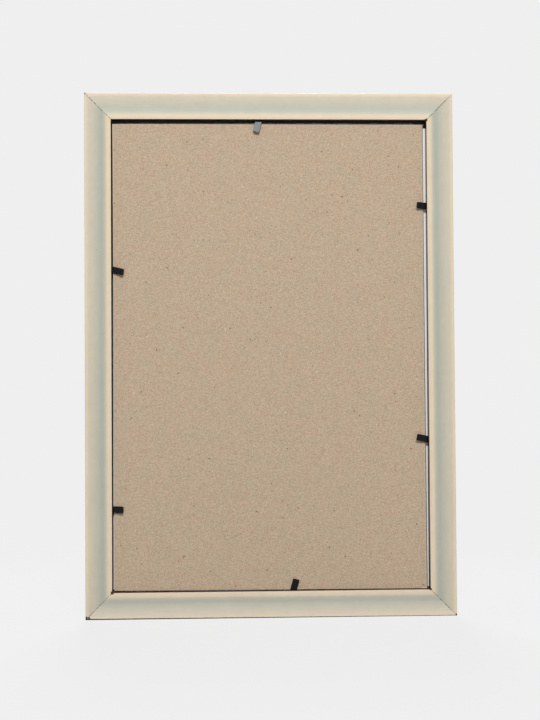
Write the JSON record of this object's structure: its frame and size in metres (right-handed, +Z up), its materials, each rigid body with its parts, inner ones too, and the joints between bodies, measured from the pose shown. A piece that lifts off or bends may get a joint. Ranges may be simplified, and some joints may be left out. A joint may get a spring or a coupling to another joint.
{
  "type": "picture frame",
  "caption": "Mitred picture frame whose rebate holds glazing, an insert sheet and a greyboard back, kept in by flexible steel tabs that bend to let them out.",
  "frame": {"origin": "middle of the bottom edge, halfway through the depth", "axes": "+Z up along the long side, the front faces -Y and the back +Y; left and right are as seen from the front"},
  "size_m": [0.2374, 0.013, 0.3366],
  "materials": {
    "moulding": "cream foamed polystyrene, bare on the back, with a black satin skin on the front, the sides and the rebate",
    "glazing": "clear float glass, 2 mm, cut edges eased",
    "insert": "white photo card",
    "greyboard": "unlined recycled greyboard with fine fibres and specks",
    "black_steel": "black satin coating on spring strip",
    "nail_steel": "bright steel strip"
  },
  "bodies": {
    "frame": {"top_rail": "moulding", "bottom_rail": "moulding", "left_rail": "moulding", "right_rail": "moulding", "glazing": "glazing", "insert_sheet": "insert", "backing_board": "greyboard", "top_tab_shank": "black_steel", "bottom_tab_shank": "black_steel", "left_upper_tab_shank": "black_steel", "left_lower_tab_shank": "black_steel", "right_upper_tab_shank": "black_steel", "right_lower_tab_shank": "black_steel", "top_left_outer_nail": "nail_steel", "top_left_inner_nail": "nail_steel", "top_right_outer_nail": "nail_steel", "top_right_inner_nail": "nail_steel", "bottom_right_outer_nail": "nail_steel", "bottom_right_inner_nail": "nail_steel", "bottom_left_outer_nail": "nail_steel", "bottom_left_inner_nail": "nail_steel"},
    "top_tab": {"top_tab_leaf": "black_steel"},
    "bottom_tab": {"bottom_tab_leaf": "black_steel"},
    "left_upper_tab": {"left_upper_tab_leaf": "black_steel"},
    "left_lower_tab": {"left_lower_tab_leaf": "black_steel"},
    "right_upper_tab": {"right_upper_tab_leaf": "black_steel"},
    "right_lower_tab": {"right_lower_tab_leaf": "black_steel"}
  },
  "joints": [
    {"name": "top_tab_bend", "type": "hinge", "parent": "frame", "child": "top_tab", "pos_m": [0.00661, 0.00405, 0.319], "axis": [1, 0, 0], "range_deg": [-11, 78]},
    {"name": "bottom_tab_bend", "type": "hinge", "parent": "frame", "child": "bottom_tab", "pos_m": [-0.01363, 0.00405, 0.0176], "axis": [-1, 0, 0], "range_deg": [-11, 78]},
    {"name": "left_upper_tab_bend", "type": "hinge", "parent": "frame", "child": "left_upper_tab", "pos_m": [-0.1011, 0.00405, 0.26392], "axis": [0, 0, 1], "range_deg": [-11, 78]},
    {"name": "left_lower_tab_bend", "type": "hinge", "parent": "frame", "child": "left_lower_tab", "pos_m": [-0.1011, 0.00405, 0.11292], "axis": [0, 0, 1], "range_deg": [-11, 78]},
    {"name": "right_upper_tab_bend", "type": "hinge", "parent": "frame", "child": "right_upper_tab", "pos_m": [0.1011, 0.00405, 0.22322], "axis": [0, 0, -1], "range_deg": [-11, 78]},
    {"name": "right_lower_tab_bend", "type": "hinge", "parent": "frame", "child": "right_lower_tab", "pos_m": [0.1011, 0.00405, 0.0698], "axis": [0, 0, -1], "range_deg": [-11, 78]}
  ]
}
